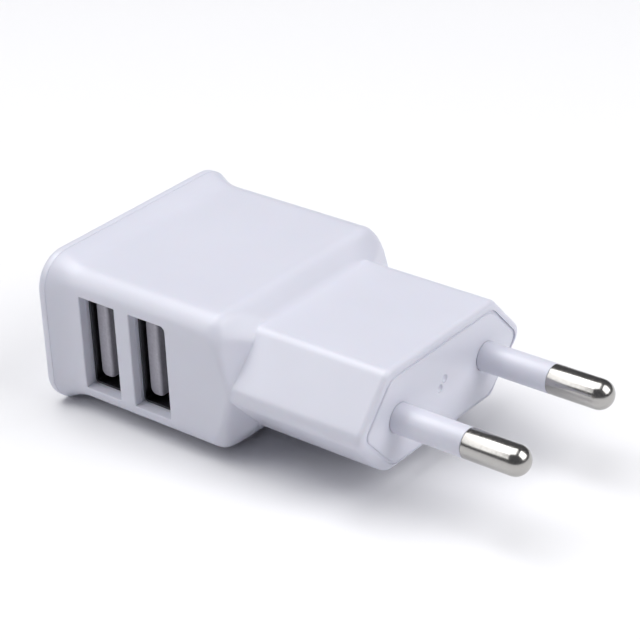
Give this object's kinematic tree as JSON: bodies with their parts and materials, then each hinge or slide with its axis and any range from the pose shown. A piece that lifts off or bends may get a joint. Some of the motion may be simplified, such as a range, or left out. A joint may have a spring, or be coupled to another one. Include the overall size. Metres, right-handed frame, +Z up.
{
  "type": "usb wall charger",
  "caption": "Compact wall charger with a flat six-sided neck carrying round plug pins, a box-shaped head with a flared rear rim, and USB sockets in its side.",
  "frame": {"origin": "centre of the flat plug face, midway between the two pins", "axes": "+X along the plug pins, away from the body; +Z up through the broad top face; the USB sockets open to -Y"},
  "size_m": [0.0706, 0.0374, 0.022],
  "materials": {
    "casing_plastic": "smooth glossy moulded lilac-white polycarbonate",
    "sleeve_plastic": "smooth glossy moulded lilac-white plastic",
    "nickel_brass": "polished nickel plate on brass",
    "contact_bronze": "stamped phosphor bronze",
    "socket_steel": "folded tin-plated steel sheet",
    "socket_plastic": "moulded grey insulator plastic",
    "gold_bronze": "gold-plated phosphor bronze strip",
    "circuit_board": "green solder-masked glass epoxy board",
    "film": "thin amber-white polyester film",
    "capacitor_sleeve": "shrunk dark sleeve on an aluminium can",
    "resistor_body": "dipped green flameproof coat",
    "inductor_body": "shrink tube over a wound ferrite rod",
    "tinned_metal": "bright tinned wire and solder",
    "ferrite": "ground manganese-zinc ferrite",
    "bobbin_plastic": "moulded black phenolic",
    "copper_wire": "enamelled copper wire, close wound",
    "yellow_tape": "polyester transformer tape",
    "blue_ceramic": "dipped blue epoxy on a ceramic disc",
    "chip_epoxy": "moulded black epoxy",
    "chip_resistor": "glazed alumina chips",
    "chip_capacitor": "sintered tan ceramic chips"
  },
  "bodies": {
    "charger": {"bridge_rectifier": "chip_epoxy", "component_leads": "tinned_metal", "controller_chip": "chip_epoxy", "fuse_resistor": "resistor_body", "housing": "casing_plastic", "input_capacitor_1": "capacitor_sleeve", "input_capacitor_2": "capacitor_sleeve", "input_inductor": "inductor_body", "insulating_film": "film", "main_board": "circuit_board", "optocoupler": "chip_epoxy", "output_capacitor_1": "capacitor_sleeve", "output_capacitor_2": "capacitor_sleeve", "output_rectifier": "chip_epoxy", "pin_contact_left": "contact_bronze", "pin_contact_right": "contact_bronze", "pin_plate": "casing_plastic", "pin_sleeve_left": "sleeve_plastic", "pin_sleeve_right": "sleeve_plastic", "plug_pin_left": "nickel_brass", "plug_pin_right": "nickel_brass", "rear_cover": "casing_plastic", "smd_capacitors": "chip_capacitor", "smd_resistors": "chip_resistor", "solder_joints": "tinned_metal", "transformer_bobbin": "bobbin_plastic", "transformer_core_front": "ferrite", "transformer_core_rear": "ferrite", "transformer_pins": "tinned_metal", "transformer_tape": "yellow_tape", "transformer_windings": "copper_wire", "usb_board": "circuit_board", "usb_control_chip": "chip_epoxy", "usb_socket_1_contact_tails": "gold_bronze", "usb_socket_1_insulator": "socket_plastic", "usb_socket_1_shell": "socket_steel", "usb_socket_2_contact_tails": "gold_bronze", "usb_socket_2_insulator": "socket_plastic", "usb_socket_2_shell": "socket_steel", "y_capacitor": "blue_ceramic"},
    "usb_socket_1_contacts": {"usb_socket_1_contact_springs": "gold_bronze"},
    "usb_socket_2_contacts": {"usb_socket_2_contact_springs": "gold_bronze"}
  },
  "joints": [
    {"name": "usb_socket_1_contact_flex", "type": "hinge", "parent": "charger", "child": "usb_socket_1_contacts", "pos_m": [-0.04291, -0.0062, 0], "axis": [0, 0, -1], "range_deg": [0, 4], "stiffness_Nm_per_rad": 0.25, "springref_deg": -1.15},
    {"name": "usb_socket_2_contact_flex", "type": "hinge", "parent": "charger", "child": "usb_socket_2_contacts", "pos_m": [-0.03426, -0.0062, 0], "axis": [0, 0, -1], "range_deg": [0, 4], "stiffness_Nm_per_rad": 0.25, "springref_deg": -1.15}
  ]
}
